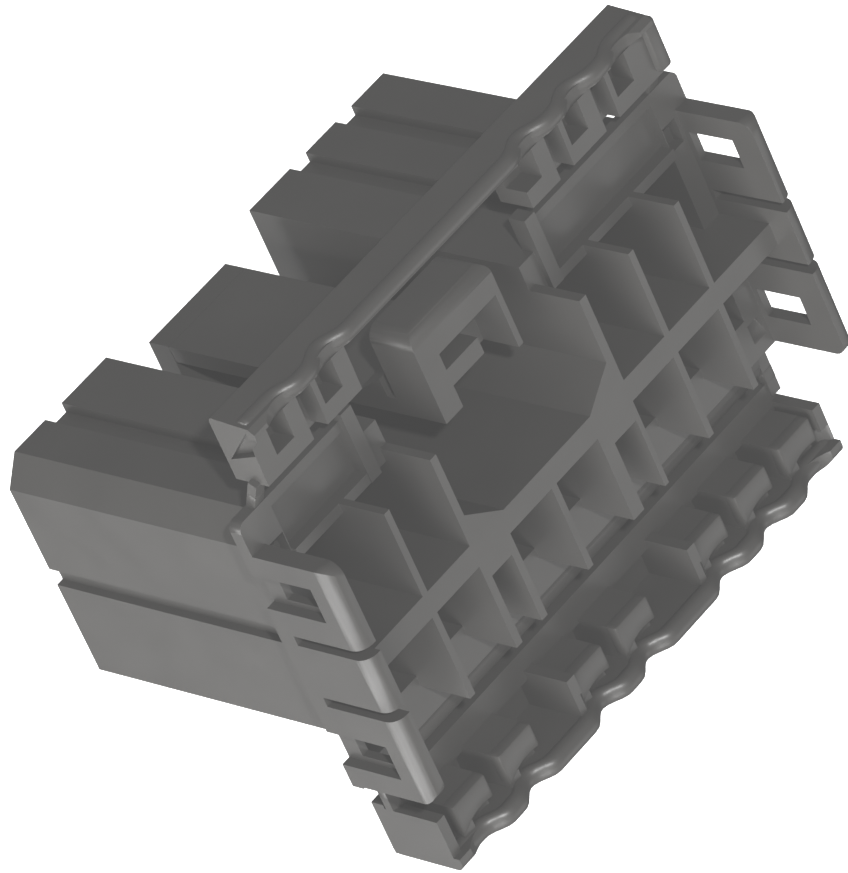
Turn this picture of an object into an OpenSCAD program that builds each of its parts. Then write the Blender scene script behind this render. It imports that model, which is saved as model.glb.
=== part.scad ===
// Twelve-way plug housing for crimped contacts, with a sprung latch lever and
// two contact retainers on living hinges.
// Origin: middle of the web between the two rows of cavities, at the mating face.
// +Z runs from the mating face to the wire side, +Y is the latch side.

/* [Mating block] */
// Width of the block
body_w = 32.65; // [31:0.05:35]
// Depth of the block, from the mating face to the collar
body_l = 17.9; // [16:0.1:22]
// Thickness of the floor under the lower row
floor_t = 0.4; // [0.3:0.05:0.8]
// Thickness of the roof over the upper row
roof_t = 2.3; // [1.8:0.05:2.6]
// Outer wall beside the end cavities
end_wall = 0.9; // [0.6:0.05:1.2]
// Chamfer on the roof's long edges, across
chamfer_w = 1.25; // [0.4:0.05:1.6]
// Chamfer on the roof's long edges, down
chamfer_h = 1.45; // [0.4:0.05:1.8]

/* [Contact cavities] */
// Width of one cavity
cavity_w = 3.4; // [3:0.05:3.6]
// Height of one cavity
cavity_h = 4.7; // [4.2:0.05:5]
// Wall between neighbouring cavities
web_t = 0.4; // [0.3:0.05:0.5]
// Web between the two rows
rib_t = 1.35; // [1:0.05:1.6]
// Middle of the pair of cavities under the latch
pair_x = -2.1; // [-2.3:0.05:-1.9]
// Height of the tab opening in the mating face
tab_h = 1.3; // [1:0.05:1.6]
// Width of the tab opening in the mating face
tab_w = 2.3; // [2:0.05:2.6]
// Thickness of the mating face
face_t = 0.9; // [0.6:0.05:1.4]

/* [Keys] */
// Width of a keying groove
key_w = 1.3; // [0.8:0.05:1.5]
// Depth of a keying groove in the roof
key_d = 0.6; // [0.3:0.05:0.8]
// Height of the grooves in the side walls
side_key_h = 1.05; // [0.6:0.05:1.4]
// Depth of the grooves in the side walls
side_key_d = 0.45; // [0.2:0.05:0.5]
// Plain length between a side groove and the collar
side_key_stop = 2.15; // [1:0.05:4]

/* [Head] */
// Distance that the head stands proud of the block at each end
head_over = 1.375; // [1.2:0.005:1.6]
// Thickness of the head's side walls
wall_t = 1; // [0.8:0.05:1.1]
// Depth of the head in front of the block
head_l = 5.7; // [5.4:0.05:6.4]
// Height of the side walls above the web's middle
head_up = 7.35; // [7.2:0.05:7.6]
// Depth of the side walls below the web's middle
head_down = 7.7; // [7.5:0.05:8]
// Radius on the side walls' front corners
head_r = 0.8; // [0.4:0.05:1.2]
// Depth of the cavity walls in front of the block
grid_l = 4.1; // [3.8:0.05:4.3]
// Height of the upper cavity walls above the web's middle
grid_up = 6.2; // [5.8:0.05:6.3]
// Reach of the lower cavity walls below the web's middle
grid_down = 6; // [5.6:0.05:6.4]
// Thickness of the collar
collar_t = 0.75; // [0.6:0.05:0.8]
// Height of the collar above the web's middle
collar_up = 9.25; // [9:0.05:9.5]
// Height of a slot in a side wall
slot_h = 0.6; // [0.4:0.05:0.8]
// Height of a snap window
window_h = 2.15; // [1.6:0.05:2.4]
// Length of a snap window
window_l = 4; // [3:0.05:4.4]

/* [Latch lever] */
// Middle of the latch
latch_x = -1.93; // [-2.1:0.01:-1.8]
// Width of the latch lever and its thumb pad
lever_w = 6.25; // [5.5:0.05:6.6]
// Thickness of the lever
lever_t = 1; // [0.8:0.05:1.2]
// Top of the lever above the web's middle
lever_up = 6.4; // [6:0.05:6.6]
// Top of the thumb pad above the web's middle
pad_up = 10.75; // [10:0.05:11]
// Gap at each side of the lever
latch_gap = 2.7; // [2.3:0.05:2.8]
// Radius on the thumb pad's long edges
pad_r = 0.8; // [0.4:0.05:1]

/* [Retainers] */
// Depth of the upper retainer's bar, from its back to its lip
upper_d = 2.9; // [2.7:0.05:3]
// Height of the upper retainer's bar
upper_h = 3.9; // [3.8:0.05:4.1]
// Depth of the lower retainer's bar, from its back to its lip
lower_d = 4.75; // [4.5:0.05:4.9]
// Height of the lower retainer's bar
lower_h = 3.45; // [3.3:0.05:3.6]
// Wall of the retainers
retainer_t = 0.8; // [0.6:0.05:0.85]
// Play between a retainer's end and a side wall's inner face
retainer_play = 0.5; // [0.4:0.05:0.9]
// Thickness of a hinge strap
strap_t = 0.5; // [0.3:0.05:0.6]
// Width of a hinge strap
strap_w = 0.7; // [0.5:0.05:1]

/* [Hidden] */
$fn = 48;
eps = 0.02;
plastic = "#2b2a2a";

// Rows and groups of cavities: a pair, the pair under the latch, and three
pitch = cavity_w + web_t;
function group_w(count) = count * pitch - web_t;
function cells(first, count) = [for (i = [0 : count - 1]) first + i * pitch];
left_x = -body_w / 2 + end_wall;
mid_x = pair_x - group_w(2) / 2;
right_x = body_w / 2 - end_wall - group_w(3);
upper_cells = concat(cells(left_x, 2), cells(right_x, 3));
lower_cells = concat(cells(left_x, 2), cells(mid_x, 2), cells(right_x, 3));
row_y = rib_t / 2 + cavity_h;
bottom_y = -row_y - floor_t;
top_y = row_y + roof_t;

// Walls beside the middle pair, and the core slots outside them
pair_wall_left = 0.45;
pair_wall_right = 0.85;
core_wall = 0.3;
core_roof = 1;
core_l = 9;
key_x = [-11.975, 7.925, 11.725];
side_key_y = 0.45;

// Head
head_w = body_w + 2 * head_over;
inner_w = head_w - 2 * wall_t;
collar_z = body_l + collar_t;
grid_z = body_l + grid_l;
head_z = body_l + head_l;
collar_r = 0.5;
slot_y = 2;
slot_root = 1;
window_up_y = 4.95;
window_down_y = -5.27;
window_recess = 0.55;
window_lip = 0.35;
post_w = 0.8;
post_up = 9.7;
post_d = 0.35;
notch_side = 1.2;
gusset_w = 2.3;
gusset_h = 1.6;
ledge_d = 0.3;
ledge_h = 0.6;

// Latch
channel_w = lever_w + 2 * latch_gap;
channel_left = latch_x - channel_w / 2;
channel_right = latch_x + channel_w / 2;
lever_root = 1.4;
lever_gap = 0.03;
pad_back = body_l - 0.7;
pad_front = body_l + 2.2;
pad_wall = 0.35;
pad_post = 1.35;
pad_top_t = 2;
tooth_h = 1.15;
tooth_l = 2;

// Hinge lines [y, z] and the two closed retainers
hub_r = 2.3;
hub_gap = 0.05;
closed_z = head_z - 0.65;
closed_play = 0.025;
upper_hinge = [collar_up - 0.875, body_l - 1.15];
lower_hinge = [-head_down + 0.075, body_l - 1.45];
upper_back = upper_hinge[0] + upper_hinge[1] - head_up + closed_play;
upper_y = closed_z - upper_hinge[1] + upper_hinge[0];
lower_back = lower_hinge[1] - lower_hinge[0] - head_down + closed_play;
lower_y = lower_hinge[0] - closed_z + lower_hinge[1];
retainer_w = inner_w - 2 * retainer_play - 0.45;
strap_x = inner_w / 2 - 0.725;
lower_w = retainer_w + 0.3;
finger_drop = 0.55;
skirt_h = 0.8;
skirt_back = 0.75;
skirt_d = 0.8;
lip_w = 2 * (strap_x - strap_w);
lip_r = hub_r - 0.1;
scallop_r = 2.2;
scallop_d = 0.6;
hollow_r = 1.5;
upper_scallop_d = 0.4;
rim_d = 0.6;
upper_pocket_w = 1.35;
upper_foot = 1;
seat_d = 0.5;
seat_rim = 0.6;
lance_w = 1.4;
lance_rise = 1.1;
lance_z = 12.5;
finger_inset = 0.3;
finger_w = 2.7;

module box(x, y, z) {
    translate([x[0], y[0], z[0]]) cube([x[1] - x[0], y[1] - y[0], z[1] - z[0]]);
}

// Extrudes an outline drawn in [y, z] along X
module along_x(x0, x1) {
    translate([x0, 0, 0]) rotate([90, 0, 90]) linear_extrude(x1 - x0) children();
}

// Extrudes an outline drawn in [x, z] along Y
module along_y(y0, y1) {
    translate([0, y1, 0]) rotate([90, 0, 0]) linear_extrude(y1 - y0) children();
}

// What a radius takes off a corner at the origin whose sides run along +x and +y
module corner(r) {
    difference() {
        translate([-eps, -eps]) square(r + eps);
        translate([r, r]) circle(r);
    }
}

// ---- Housing ----
module block_outline() {
    difference() {
        polygon([
            [-body_w / 2, bottom_y], [body_w / 2, bottom_y],
            [body_w / 2, top_y - chamfer_h], [body_w / 2 - chamfer_w, top_y],
            [-body_w / 2 + chamfer_w, top_y], [-body_w / 2, top_y - chamfer_h]
        ]);
        for (x = key_x) translate([x - key_w / 2, top_y - key_d]) square([key_w, key_d + eps]);
    }
}

module collar_outline() {
    difference() {
        translate([-head_w / 2, -head_down - 0.1]) square([head_w, collar_up + head_down + 0.1]);
        for (s = [-1, 1]) translate([s * head_w / 2, collar_up])
            mirror([s > 0 ? 1 : 0, 0]) mirror([0, 1]) corner(collar_r);
        translate([channel_left - notch_side, top_y - 1])
            square([channel_w + 2 * notch_side, collar_up]);
    }
}

module side_outline() {
    difference() {
        translate([-head_down, body_l]) square([head_up + head_down, head_l]);
        translate([-head_down, head_z]) mirror([0, 1]) corner(head_r);
        translate([head_up, head_z]) mirror([1, 0]) mirror([0, 1]) corner(head_r);
        for (y = [-slot_y, slot_y])
            translate([y - slot_h / 2, body_l + slot_root]) square([slot_h, head_l]);
        for (y = [window_down_y, window_up_y])
            translate([y - window_h / 2 + window_lip, collar_z + window_lip])
                square([window_h - window_lip, window_l - collar_t - window_lip]);
    }
}

module head_plan() {
    difference() {
        translate([-head_w / 2, body_l]) square([head_w, head_l]);
        translate([-inner_w / 2, body_l - eps]) square([inner_w, head_l + 2 * eps]);
        for (s = [-1, 1]) translate([s * head_w / 2, head_z])
            mirror([s > 0 ? 1 : 0, 0]) mirror([0, 1]) corner(head_r);
    }
}

module side_walls() {
    intersection() {
        along_x(-head_w / 2, head_w / 2) side_outline();
        along_y(-head_down - eps, head_up + eps) head_plan();
    }
}

// Outline in [x, y] of the web and the cavity walls in front of the block
module grid_outline() {
    translate([-inner_w / 2 - eps, -rib_t / 2]) square([inner_w + 2 * eps, rib_t]);
    for (x = [left_x, right_x, right_x + pitch])
        for (side = [[-grid_down, grid_down], [0, grid_up]])
            translate([x + cavity_w, side[0]]) square([web_t, side[1]]);
    translate([mid_x + cavity_w, -grid_down]) square([web_t, grid_down]);
    for (wall = [
        [left_x + group_w(2), channel_left], [mid_x - pair_wall_left, mid_x],
        [mid_x + group_w(2), mid_x + group_w(2) + pair_wall_right], [right_x - core_wall, right_x]
    ])
        translate([wall[0], -grid_down]) square([wall[1] - wall[0], grid_down]);
    for (wall = [[left_x + group_w(2), channel_left], [channel_right, right_x]])
        translate([wall[0], 0]) square([wall[1] - wall[0], grid_up]);
    translate([left_x + group_w(2), -rib_t / 2 - core_roof])
        square([right_x - left_x - group_w(2), core_roof + eps]);
    for (s = [[channel_left, 1], [channel_right, -1]])
        polygon([
            [s[0] - s[1] * eps, rib_t / 2 - eps], [s[0] + s[1] * gusset_w, rib_t / 2 - eps],
            [s[0] - s[1] * eps, rib_t / 2 + gusset_h]
        ]);
}

module cavity_cores() {
    top_z = head_z + 1;
    for (x = upper_cells) {
        box([x, x + cavity_w], [rib_t / 2, row_y], [face_t, top_z]);
        box([x + (cavity_w - tab_w) / 2, x + (cavity_w + tab_w) / 2],
            [(row_y + rib_t / 2 - tab_h) / 2, (row_y + rib_t / 2 + tab_h) / 2], [-1, top_z]);
    }
    for (x = lower_cells) {
        box([x, x + cavity_w], [-row_y, -rib_t / 2], [face_t, body_l + eps]);
        box([x, x + cavity_w], [-head_down, -rib_t / 2], [collar_z, top_z]);
        box([x, x + cavity_w], [-row_y, -rib_t / 2], [body_l, collar_z + eps]);
        box([x + (cavity_w - tab_w) / 2, x + (cavity_w + tab_w) / 2],
            [-(row_y + rib_t / 2 + tab_h) / 2, -(row_y + rib_t / 2 - tab_h) / 2], [-1, top_z]);
    }
    for (x = [[channel_left, mid_x - pair_wall_left], [mid_x + group_w(2) + pair_wall_right, right_x - core_wall]])
        box(x, [-row_y, -rib_t / 2 - core_roof], [body_l - core_l, top_z]);
}

module latch_channel() {
    difference() {
        box([channel_left, channel_right], [rib_t / 2, collar_up + 1], [-1, head_z + 1]);
        linear_extrude(head_z) intersection() {
            grid_outline();
            translate([channel_left, 0]) square([channel_w, rib_t / 2 + gusset_h]);
        }
        box([latch_x - lever_w / 2, latch_x + lever_w / 2], [0, lever_up], [0, lever_root]);
    }
}

module strap_band(hinge, start, end) {
    dir = (end - start) / norm(end - start);
    across = [-dir[1], dir[0]] * strap_t / 2;
    polygon([start - across, end - across, end + across, start + across]);
}

upper_strap = [[collar_up - 0.4, body_l + 0.2], [upper_y - upper_h + 0.2, upper_back + 1.45]];
lower_strap = [[-head_down + 0.3, body_l - 0.05], [lower_y + lower_h, body_l - 0.05]];

module strap_at(side) {
    along_x(side * strap_x - strap_w / 2, side * strap_x + strap_w / 2) children();
}

module strap_stubs() {
    for (side = [-1, 1]) {
        strap_at(side) intersection() {
            strap_band(upper_hinge, upper_strap[0], upper_strap[1]);
            translate(upper_hinge) circle(hub_r);
        }
        strap_at(side) intersection() {
            strap_band(lower_hinge, lower_strap[0], lower_strap[1]);
            translate(lower_hinge) circle(hub_r);
        }
    }
}

// Room in the collar for the straps when the retainers are closed
module strap_room() {
    for (side = [-1, 1]) {
        along_x(side * strap_x - strap_w / 2 - 0.15, side * strap_x + strap_w / 2 + 0.15) {
            difference() {
                translate([upper_hinge[0] - 2.8, body_l + 0.05]) square([4.5, 2]);
                translate(upper_hinge) circle(hub_r);
            }
            difference() {
                translate([lower_hinge[0] - 1.2, body_l + 0.05]) square([3.05, 2]);
                translate(lower_hinge) circle(hub_r);
            }
        }
    }
}

// Rounded lip along the lower edge of the collar, inside the sweep of the lower retainer
module lower_lip() {
    along_x(-lip_w / 2, lip_w / 2) intersection() {
        translate(lower_hinge) circle(lip_r);
        translate([-head_down - lip_r, body_l - 0.3]) square([lip_r + 1, collar_t + 0.3]);
    }
}

// The two stretches of collar that a closed upper retainer lies over
seats = [
    [left_x, channel_left - notch_side - post_w],
    [channel_right + notch_side + post_w, right_x + group_w(3)]
];

module retainer_seats() {
    for (x = seats)
        box(x, [row_y + ledge_h, collar_up - seat_rim], [collar_z - seat_d, head_z]);
}

module ledges() {
    for (x = seats) box(x, [row_y, row_y + ledge_h], [body_l - eps, collar_z + ledge_d]);
}

// Springy tongues that hold the contacts in the lower row
module lances() {
    for (x = lower_cells)
        along_x(x + (cavity_w - lance_w) / 2, x + (cavity_w + lance_w) / 2)
            polygon([
                [-row_y - eps, lance_z], [-row_y + lance_rise, lance_z + 3.1],
                [-row_y + lance_rise, lance_z + 3.8], [-row_y - eps, lance_z + 0.8]
            ]);
}

module housing() {
    color(plastic) union() {
        difference() {
            union() {
                linear_extrude(collar_z) block_outline();
                translate([0, 0, body_l]) linear_extrude(collar_t) collar_outline();
                side_walls();
                translate([0, 0, body_l]) linear_extrude(grid_l) grid_outline();
                for (x = [channel_left - notch_side - post_w, channel_right + notch_side])
                    box([x, x + post_w], [row_y, post_up], [body_l, collar_z + post_d]);
                lower_lip();
            }
            retainer_seats();
            cavity_cores();
            latch_channel();
            strap_room();
            for (side = [-1, 1]) {
                box(side > 0 ? [body_w / 2 - side_key_d, body_w / 2 + eps]
                        : [-body_w / 2 - eps, -body_w / 2 + side_key_d],
                    [side_key_y - side_key_h / 2, side_key_y + side_key_h / 2], [-1, body_l - side_key_stop]);
                for (y = [window_down_y, window_up_y])
                    box(side > 0 ? [head_w / 2 - window_recess, head_w / 2 + 1] : [-head_w / 2 - 1, -head_w / 2 + window_recess],
                        [y - window_h / 2, y + window_h / 2], [body_l, body_l + window_l]);
            }
        }
        strap_stubs();
        ledges();
        lances();
    }
}

// ---- Latch lever ----
module lever_outline() {
    polygon([
        [lever_up - lever_t, lever_root + lever_gap], [lever_up, lever_root + lever_gap],
        [lever_up, pad_back - tooth_l - 0.6], [lever_up + tooth_h, pad_back - 0.6],
        [lever_up, pad_back - 0.6], [lever_up, pad_back + eps], [lever_up - lever_t, pad_back + eps]
    ]);
}

module pad_outline() {
    difference() {
        translate([latch_x - lever_w / 2, lever_up - lever_t]) square([lever_w, pad_up - lever_up + lever_t]);
        for (s = [-1, 1]) translate([latch_x + s * lever_w / 2, pad_up])
            mirror([s > 0 ? 1 : 0, 0]) mirror([0, 1]) corner(pad_r);
    }
}

module pad_hollow() {
    left = latch_x - lever_w / 2 + pad_post;
    right = latch_x + lever_w / 2 - pad_wall;
    floor_y = lever_up - lever_t;
    rib_y = floor_y + 1.35;
    box([left, right], [floor_y + 2.35, pad_up - pad_top_t], [pad_back + 0.5, pad_front + 1]);
    box([left, right], [floor_y - 1, rib_y], [pad_back + 0.5, pad_front + 1]);
    box([left + 2.5, right], [rib_y - eps, floor_y + 2.35 + eps], [pad_back + 0.5, pad_front + 1]);
}

module latch_lever() {
    color(plastic) union() {
        along_x(latch_x - lever_w / 2, latch_x + lever_w / 2) lever_outline();
        difference() {
            translate([0, 0, pad_back]) linear_extrude(pad_front - pad_back) pad_outline();
            pad_hollow();
            along_x(latch_x - lever_w, latch_x + lever_w)
                translate([pad_up, pad_front]) mirror([1, 0]) mirror([0, 1]) corner(pad_r);
        }
    }
}

// ---- Upper retainer ----
module upper_outline() {
    difference() {
        polygon([
            [upper_y - upper_h, upper_back], [upper_y, upper_back],
            [upper_y - 0.25, upper_back + upper_d - 0.3], [upper_y - 0.55, upper_back + upper_d],
            [upper_y - retainer_t, upper_back + upper_d], [upper_y - retainer_t - 0.2, upper_back + upper_d - rim_d],
            [upper_y - upper_h, upper_back + upper_d - rim_d - 0.1]
        ]);
        translate([upper_y, upper_back]) mirror([1, 0]) corner(0.35);
    }
}

module upper_retainer() {
    group_left = left_x + pitch + finger_inset + finger_w;
    group_right = right_x + 0.75;
    inner_z = upper_back + retainer_t;
    arch_y = upper_y - 0.88;
    color(plastic) difference() {
        union() {
            along_x(-retainer_w / 2, retainer_w / 2) upper_outline();
            for (side = [-1, 1]) strap_at(side) strap_band(upper_hinge, upper_strap[0], upper_strap[1]);
        }
        box([group_left, group_right], [upper_y - upper_h - 1, arch_y], [0, head_z]);
        for (x = [left_x, right_x, right_x + pitch])
            box([x + finger_inset + finger_w, x + pitch + finger_inset],
                [upper_y - upper_h - 1, upper_y - retainer_t], [inner_z + 0.2, head_z]);
        for (x = upper_cells) {
            box([x + finger_inset + 0.35, x + finger_inset + 0.35 + upper_pocket_w],
                [upper_y - upper_h + upper_foot, upper_y - retainer_t - 0.25], [inner_z, head_z]);
            translate([x + cavity_w / 2, upper_y - retainer_t - 0.1, upper_back + upper_d + scallop_r - upper_scallop_d])
                rotate([-90, 0, 0]) cylinder(h = 3, r = scallop_r);
        }
        for (side = [-1, 1])
            strap_at(side * 1) translate(upper_hinge) circle(hub_r + hub_gap);
        for (side = [-1, 1])
            translate([side * retainer_w / 2, 0, 0]) along_x(-0.4, 0.4)
                polygon([[upper_y - 2.6, upper_back + 0.3], [upper_y - 0.5, upper_back + 2.35],
                    [upper_y - 2, upper_back + 2.25]]);
    }
}

// ---- Lower retainer ----
module lower_outline() {
    difference() {
        translate([lower_y, lower_back]) square([lower_h, retainer_t]);
        translate([lower_y, lower_back]) corner(0.35);
    }
    difference() {
        translate([lower_y, lower_back]) square([retainer_t, lower_d]);
        translate([lower_y, lower_back]) corner(0.35);
        translate([lower_y, lower_back + lower_d]) mirror([0, 1]) corner(0.5);
    }
}

module lower_retainer() {
    finger_front = lower_back + lower_d - 0.7;
    finger_up = lower_y + lower_h - finger_drop;
    color(plastic) difference() {
        union() {
            along_x(-lower_w / 2, lower_w / 2) lower_outline();
            for (x = lower_cells)
                box([x + 0.65, x + 3.2], [lower_y + eps, finger_up], [lower_back + eps, finger_front]);
            for (side = [-1, 1]) {
                box(side < 0 ? [-lower_w / 2, -lower_w / 2 + 0.6] : [lower_w / 2 - 0.6, lower_w / 2],
                    [lower_y + eps, finger_up + 0.3], [lower_back + eps, lower_back + lower_d - 0.4]);
                strap_at(side) strap_band(lower_hinge, lower_strap[0], lower_strap[1]);
            }
            box([-lower_w / 2 + 0.2, lower_w / 2 - 0.2], [lower_y + lower_h - retainer_t, lower_y + lower_h + skirt_h],
                [lower_back + skirt_back - eps, lower_back + skirt_back + skirt_d]);
            for (x = [mid_x, right_x])
                box([x + 0.15, x + 0.75], [lower_y + eps, finger_up + 0.3],
                    [lower_back + eps, lower_back + lower_d - 0.3]);
        }
        for (side = [-1, 1])
            along_x(side * strap_x - strap_w, side * strap_x + strap_w)
                translate(lower_hinge) circle(hub_r + hub_gap);
        for (x = lower_cells) {
            translate([x + cavity_w / 2, lower_y - 1, lower_back + lower_d + scallop_r - scallop_d])
                rotate([-90, 0, 0]) cylinder(h = 3, r = scallop_r);
            translate([x + cavity_w / 2 + 1, lower_y + retainer_t, finger_front + hollow_r - scallop_d])
                rotate([-90, 0, 0]) cylinder(h = 1, r = hollow_r);
        }
    }
}

housing();
latch_lever();
upper_retainer();
lower_retainer();
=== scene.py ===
import math

import bpy
from mathutils import Matrix, Vector


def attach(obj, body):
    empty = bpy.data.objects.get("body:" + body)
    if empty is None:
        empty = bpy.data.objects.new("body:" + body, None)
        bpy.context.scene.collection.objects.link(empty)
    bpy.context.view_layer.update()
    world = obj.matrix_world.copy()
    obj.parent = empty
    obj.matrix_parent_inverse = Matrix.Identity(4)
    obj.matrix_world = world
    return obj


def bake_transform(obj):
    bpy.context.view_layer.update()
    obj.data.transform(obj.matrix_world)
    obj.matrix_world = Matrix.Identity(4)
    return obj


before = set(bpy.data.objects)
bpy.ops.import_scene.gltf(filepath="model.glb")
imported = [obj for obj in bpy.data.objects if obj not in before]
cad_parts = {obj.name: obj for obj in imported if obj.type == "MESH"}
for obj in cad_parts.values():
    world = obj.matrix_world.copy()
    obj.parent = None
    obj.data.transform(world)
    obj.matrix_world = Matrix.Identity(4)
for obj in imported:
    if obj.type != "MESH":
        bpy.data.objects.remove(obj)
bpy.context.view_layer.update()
scene = bpy.context.scene
mm = 0.001
white = (1, 1, 1, 1)


def linear(hexColour):
    channels = [int(hexColour[i:i + 2], 16) / 255 for i in (1, 3, 5)]
    return [c / 12.92 if c <= 0.04045 else ((c + 0.055) / 1.055) ** 2.4 for c in channels] + [1.0]


def addNode(tree, kind, inputs=None, **settings):
    node = tree.nodes.new(kind)
    for name, value in settings.items():
        setattr(node, name, value)
    for name, value in (inputs or {}).items():
        if isinstance(value, bpy.types.NodeSocket):
            tree.links.new(value, node.inputs[name])
        else:
            node.inputs[name].default_value = value
    return node


# Glass-filled black nylon off a fine-spark mould: satin, with a soft cloudy grey bloom and a faint grain.
# Noise scales count patterns per metre, so 140 is a cloud about 7 mm across and 9000 a grain near 0.1 mm.
# Bump distances are in metres.
polymer = {
    "dark": "#373635",
    "light": "#454442",
    "ior": 1.5,
    "roughLow": 0.32,
    "roughHigh": 0.46,
    "clouds": {"Scale": 140.0, "Detail": 4.0, "Roughness": 0.55},
    "streaks": {"Scale": 420.0, "Detail": 3.0},
    "grain": {"Scale": 9000.0, "Detail": 2.0},
    "sinks": {"Scale": 260.0, "Detail": 1.0},
    "grainBump": {"Strength": 0.18, "Distance": 0.00002},
    "sinkBump": {"Strength": 0.25, "Distance": 0.00006},
}


def mouldedPolymer(look):
    material = bpy.data.materials.new("blackPolymer")
    material.use_nodes = True
    tree = material.node_tree
    shader = tree.nodes["Principled BSDF"]
    shader.inputs["IOR"].default_value = look["ior"]
    place = addNode(tree, "ShaderNodeTexCoord").outputs["Object"]
    noise = {}
    for name in ("clouds", "streaks", "grain", "sinks"):
        node = addNode(tree, "ShaderNodeTexNoise", {"Vector": place, **look[name]})
        noise[name] = node.outputs["Fac"]
    tint = addNode(tree, "ShaderNodeMix", {"Factor": noise["clouds"]}, data_type="RGBA")
    tint.inputs["A"].default_value = linear(look["dark"])
    tint.inputs["B"].default_value = linear(look["light"])
    tree.links.new(tint.outputs["Result"], shader.inputs["Base Color"])
    gloss = addNode(tree, "ShaderNodeMapRange", {
        "Value": noise["streaks"], "To Min": look["roughLow"], "To Max": look["roughHigh"]})
    tree.links.new(gloss.outputs["Result"], shader.inputs["Roughness"])
    fine = addNode(tree, "ShaderNodeBump", {"Height": noise["grain"], **look["grainBump"]})
    broad = addNode(tree, "ShaderNodeBump", {
        "Height": noise["sinks"], "Normal": fine.outputs["Normal"], **look["sinkBump"]})
    tree.links.new(broad.outputs["Normal"], shader.inputs["Normal"])
    return material


blackPolymer = mouldedPolymer(polymer)

# Moulded edges of the four parts, in millimetres. Angles in degrees say which edges are rounded:
# the sharper ones of a part, those of a small piece, and what stays smooth on a small piece.
edgeRounding = {"housing": 0.12, "latch_lever": 0.18, "upper_retainer": 0.14, "lower_retainer": 0.14}
partAngle = 38
pieceAngle = 50
smoothAngle = 40
roundingSteps = 2
weldReach = 0.002


def roundEdges(piece, rounding, angle):
    bevel = piece.modifiers.new("edges", "BEVEL")
    bevel.width = rounding * mm
    bevel.segments = roundingSteps
    bevel.limit_method = "ANGLE"
    bevel.angle_limit = math.radians(angle)
    return bevel


for name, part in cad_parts.items():
    for slot in part.material_slots:
        slot.material = blackPolymer
    weld = part.modifiers.new("weld", "WELD")
    weld.merge_threshold = weldReach * mm
    roundEdges(part, edgeRounding[name], partAngle).harden_normals = True
print("materials", list(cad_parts))

# How closely an edge or a face follows a direction to be taken with it, as a cosine
followsWell = 0.9


def addBlock(name, low, high, tilt=0.0):
    bpy.ops.object.select_all(action="DESELECT")
    centre = [(a + b) / 2 * mm for a, b in zip(low, high)]
    bpy.ops.mesh.primitive_cube_add(size=1, location=centre, rotation=(tilt, 0, 0))
    block = bpy.context.object
    block.name = name
    block.scale = [(b - a) * mm for a, b in zip(low, high)]
    bpy.ops.object.transform_apply(location=True, rotation=True, scale=True)
    return block


def pickNone(kind):
    bpy.ops.object.mode_set(mode="EDIT")
    bpy.ops.mesh.select_mode(type=kind)
    bpy.ops.mesh.select_all(action="DESELECT")
    bpy.ops.object.mode_set(mode="OBJECT")


def cutAlong(piece, direction, cuts):
    pickNone("EDGE")
    corners = piece.data.vertices
    for edge in piece.data.edges:
        run = corners[edge.vertices[1]].co - corners[edge.vertices[0]].co
        edge.select = abs(run.normalized().dot(direction)) > followsWell
    bpy.ops.object.mode_set(mode="EDIT")
    bpy.ops.mesh.subdivide(number_cuts=cuts)
    bpy.ops.object.mode_set(mode="OBJECT")


def pullEnd(piece, direction, length):
    pickNone("FACE")
    for face in piece.data.polygons:
        face.select = face.normal.dot(direction) > followsWell
    bpy.ops.object.mode_set(mode="EDIT")
    bpy.ops.mesh.extrude_region_move(TRANSFORM_OT_translate={"value": direction * length * mm})
    bpy.ops.object.mode_set(mode="OBJECT")


def finishPiece(piece, rounding):
    piece.data.materials.append(blackPolymer)
    roundEdges(piece, rounding, pieceAngle)
    bpy.ops.object.modifier_apply(modifier="edges")
    bpy.ops.object.shade_smooth_by_angle(angle=math.radians(smoothAngle))


# Living hinges: a web closes each strap's split between the housing and the retainer, cut into short
# lengths along the strap.
# Places are [y, z] in millimetres, on the housing's side and on the retainer's.
hinges = {
    "upper": {"body": "upper_retainer", "fixed": (9.737, 18.604), "moving": (9.784, 18.631)},
    "lower": {"body": "lower_retainer", "fixed": (-9.450, 17.850), "moving": (-9.5125, 17.850)},
}
strap = {"x": 15.975, "width": 0.73, "thick": 0.53, "overlap": 0.35, "cuts": 13, "rounding": 0.02}

for name, hinge in hinges.items():
    fixed, moving = Vector((0, *hinge["fixed"])), Vector((0, *hinge["moving"]))
    along = (moving - fixed).normalized()
    middle = (fixed + moving) / 2
    half = Vector((strap["width"], (moving - fixed).length, strap["thick"])) / 2
    for side, sign in (("left", -1), ("right", 1)):
        shift = Vector((sign * strap["x"], 0, 0))
        low = middle + shift - half
        high = middle + shift + half
        web = addBlock(name + "Hinge_" + side, low, high, math.atan2(along.z, along.y))
        cutAlong(web, along, strap["cuts"])
        pullEnd(web, along, strap["overlap"])
        pullEnd(web, -along, strap["overlap"])
        finishPiece(web, strap["rounding"])
        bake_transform(web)
print("hinge webs")

# Cavities that the two retainers serve: left edges along the row, and their width and spacing
cavity = 3.4
pitch = 3.8
leftPair, middlePair, rightThree = -15.425, -5.7, 4.425
upperCells = [leftPair, leftPair + pitch, rightThree, rightThree + pitch, rightThree + 2 * pitch]
lowerCells = upperCells[:2] + [middlePair, middlePair + pitch] + upperCells[2:]
alongRow = Vector((1, 0, 0))

# Rolled lips of the retainers, which dip at each cavity so that a wire can pass
rims = {
    "upperRim": {"body": "upper_retainer", "cells": upperCells, "reach": 15.8, "y": 14.12, "z": 20.38,
                 "radius": 0.46, "dip": 0.6, "dipReach": 1.6},
    "lowerRim": {"body": "lower_retainer", "cells": lowerCells, "reach": 16.08, "y": -13.75, "z": 21.0,
                 "radius": 0.55, "dip": 0.79, "dipReach": 1.5},
}
rimSides = 20
rimCuts = 199


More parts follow.
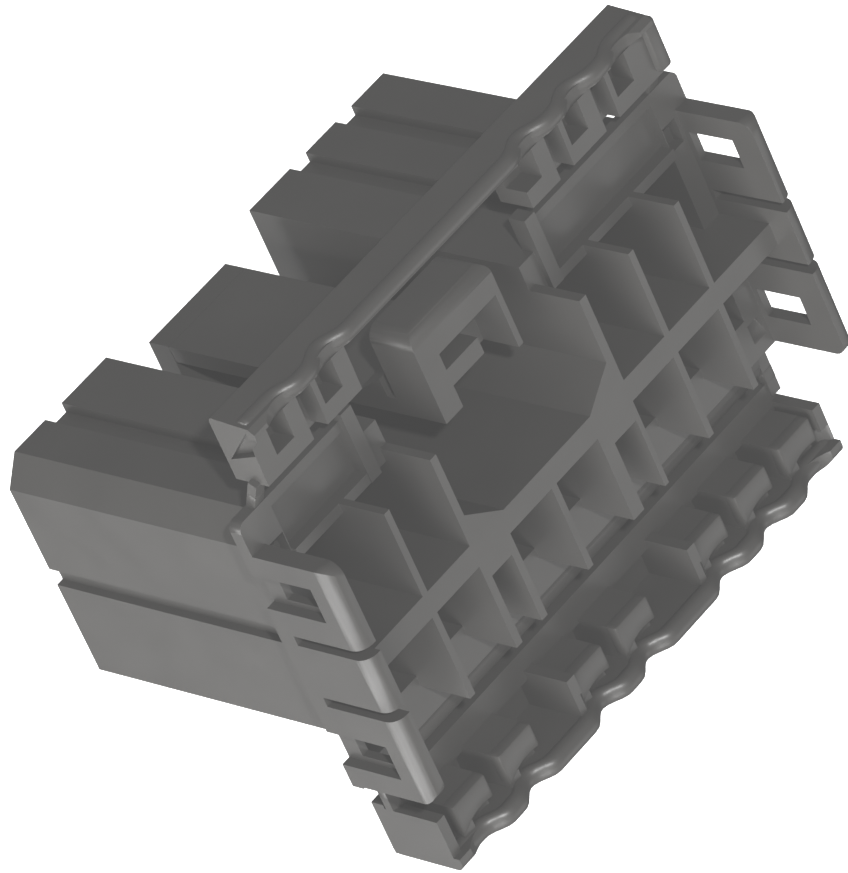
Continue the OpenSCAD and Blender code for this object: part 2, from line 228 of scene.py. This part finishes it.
def dipAt(x, rim):
    middles = [cell + cavity / 2 for cell in rim["cells"]]
    if x < middles[0] or x > middles[-1]:
        return rim["dip"]
    nearest = min(abs(x - middle) for middle in middles)
    return rim["dip"] * math.cos(math.pi / 2 * min(1, nearest / rim["dipReach"])) ** 2


for name, rim in rims.items():
    bpy.ops.object.select_all(action="DESELECT")
    bpy.ops.mesh.primitive_cylinder_add(
        vertices=rimSides, radius=rim["radius"] * mm, depth=2 * rim["reach"] * mm,
        location=(0, rim["y"] * mm, rim["z"] * mm), rotation=(0, math.pi / 2, 0))
    bead = bpy.context.object
    bead.name = name
    bpy.ops.object.transform_apply(location=True, rotation=True, scale=True)
    cutAlong(bead, alongRow, rimCuts)
    for point in bead.data.vertices:
        point.co.z -= dipAt(point.co.x / mm, rim) * mm
    finishPiece(bead, rim["radius"] / 2)
    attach(bead, rim["body"])

# Caps on the lower retainer's fingers, hollowed at the foot where the lip curls up.
# Points within footBand of the foot belong to it.
cap = {"left": 0.62, "right": 3.23, "top": -11.18, "foot": -13.1, "footBand": 0.01, "footRise": 0.4,
       "hollow": 0.32, "back": 19.8, "front": 20.58, "rounding": 0.14, "cuts": 11}
for number, cell in enumerate(lowerCells):
    finger = addBlock("fingerCap" + str(number), (cell + cap["left"], cap["foot"], cap["back"]),
                      (cell + cap["right"], cap["top"], cap["front"]))
    cutAlong(finger, alongRow, cap["cuts"])
    for point in finger.data.vertices:
        if point.co.y < (cap["foot"] + cap["footBand"]) * mm:
            share = (point.co.x / mm - cell - cap["left"]) / (cap["right"] - cap["left"])
            point.co.y += (cap["footRise"] * share + cap["hollow"] * math.sin(math.pi * share)) * mm
    finishPiece(finger, cap["rounding"])
    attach(finger, "lower_retainer")

# Small trim of the upper retainer: the snap lug on its right end, and sills that close the lower ends
# of three slots
lugShape = {"low": (15.55, 10.95, 18.35), "high": (16.4, 14.0, 20.45), "rounding": 0.2}
lug = addBlock("upperLug", lugShape["low"], lugShape["high"])
finishPiece(lug, lugShape["rounding"])
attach(lug, "upper_retainer")
sill = {"left": 3.1, "right": 5.0, "y": (10.3, 10.75), "z": (17.9, 18.75), "rounding": 0.08}
for number, cell in enumerate((upperCells[0], upperCells[2], upperCells[3])):
    block = addBlock("slotSill" + str(number), (cell + sill["left"], sill["y"][0], sill["z"][0]),
                     (cell + sill["right"], sill["y"][1], sill["z"][1]))
    finishPiece(block, sill["rounding"])
    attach(block, "upper_retainer")
print("rims, finger caps, lug and sills")

# The pale floor glows by itself and gives the part neither light nor a reflection
floorLook = {"size": 3.0, "grey": 0.93, "roughness": 0.9, "glow": 0.9}
floorMaterial = bpy.data.materials.new("paleFloor")
floorMaterial.use_nodes = True
floorShader = floorMaterial.node_tree.nodes["Principled BSDF"]
floorShader.inputs["Base Color"].default_value = (floorLook["grey"],) * 3 + (1,)
floorShader.inputs["Roughness"].default_value = floorLook["roughness"]
floorShader.inputs["Emission Color"].default_value = white
floorShader.inputs["Emission Strength"].default_value = floorLook["glow"]
bpy.ops.object.select_all(action="DESELECT")
bpy.ops.mesh.primitive_plane_add(size=floorLook["size"], location=(0, 0, 0))
floor = bpy.context.object
floor.name = "floor"
floor.data.materials.append(floorMaterial)
floor.visible_diffuse = False
floor.visible_glossy = False

# Camera: place in metres and two directions in the part's frame, lens and sensor in millimetres
view = {"at": (-0.2168, 0.2489, 0.3129), "right": (0.5999, -0.3486, 0.7201),
        "forward": (0.4836, -0.5590, -0.6736), "lens": 371.134, "sensor": 36, "farClip": 10}
camera = bpy.data.objects.new("camera", bpy.data.cameras.new("camera"))
scene.collection.objects.link(camera)
forward = Vector(view["forward"]).normalized()
up = Vector(view["right"]).normalized().cross(forward).normalized()
right = forward.cross(up).normalized()
turn = Matrix((right, up, -forward)).transposed().to_4x4()
camera.matrix_world = Matrix.Translation(Vector(view["at"])) @ turn
camera.data.sensor_width = view["sensor"]
camera.data.lens = view["lens"]
camera.data.clip_end = view["farClip"]
scene.camera = camera

# Square lamps, placed in metres and turned to the aim; the spark is the small one that glints on edges
lamps = {
    "key": {"at": (-0.85, -0.32, 0.10), "size": 1.60, "power": 46.0},
    "side": {"at": (0.40, -0.46, 0.56), "size": 0.50, "power": 0.8},
    "fill": {"at": (-0.387, 0.447, 0.539), "size": 0.35, "power": 0.5},
    "spark": {"at": (-0.22, 0.34, 0.42), "size": 0.02, "power": 2.6},
}
aim = Vector((0, 0, 0.01))
for name, lamp in lamps.items():
    data = bpy.data.lights.new(name, "AREA")
    data.energy = lamp["power"]
    data.size = lamp["size"]
    light = bpy.data.objects.new(name, data)
    scene.collection.objects.link(light)
    light.location = lamp["at"]
    light.rotation_euler = (aim - Vector(lamp["at"])).to_track_quat("-Z", "Y").to_euler()

roomLight = 0.16
world = bpy.data.worlds.new("softRoom")
scene.world = world
world.use_nodes = True
background = world.node_tree.nodes["Background"]
background.inputs["Color"].default_value = white
background.inputs["Strength"].default_value = roomLight

# A lens veil from the white surroundings lifts the blacks, as a bright backdrop does
veil = 0.065
scene.view_settings.view_transform = "Standard"
scene.view_settings.use_curve_mapping = True
scene.view_settings.curve_mapping.black_level = (-veil, -veil, -veil)
scene.view_settings.curve_mapping.update()
print("stage set")
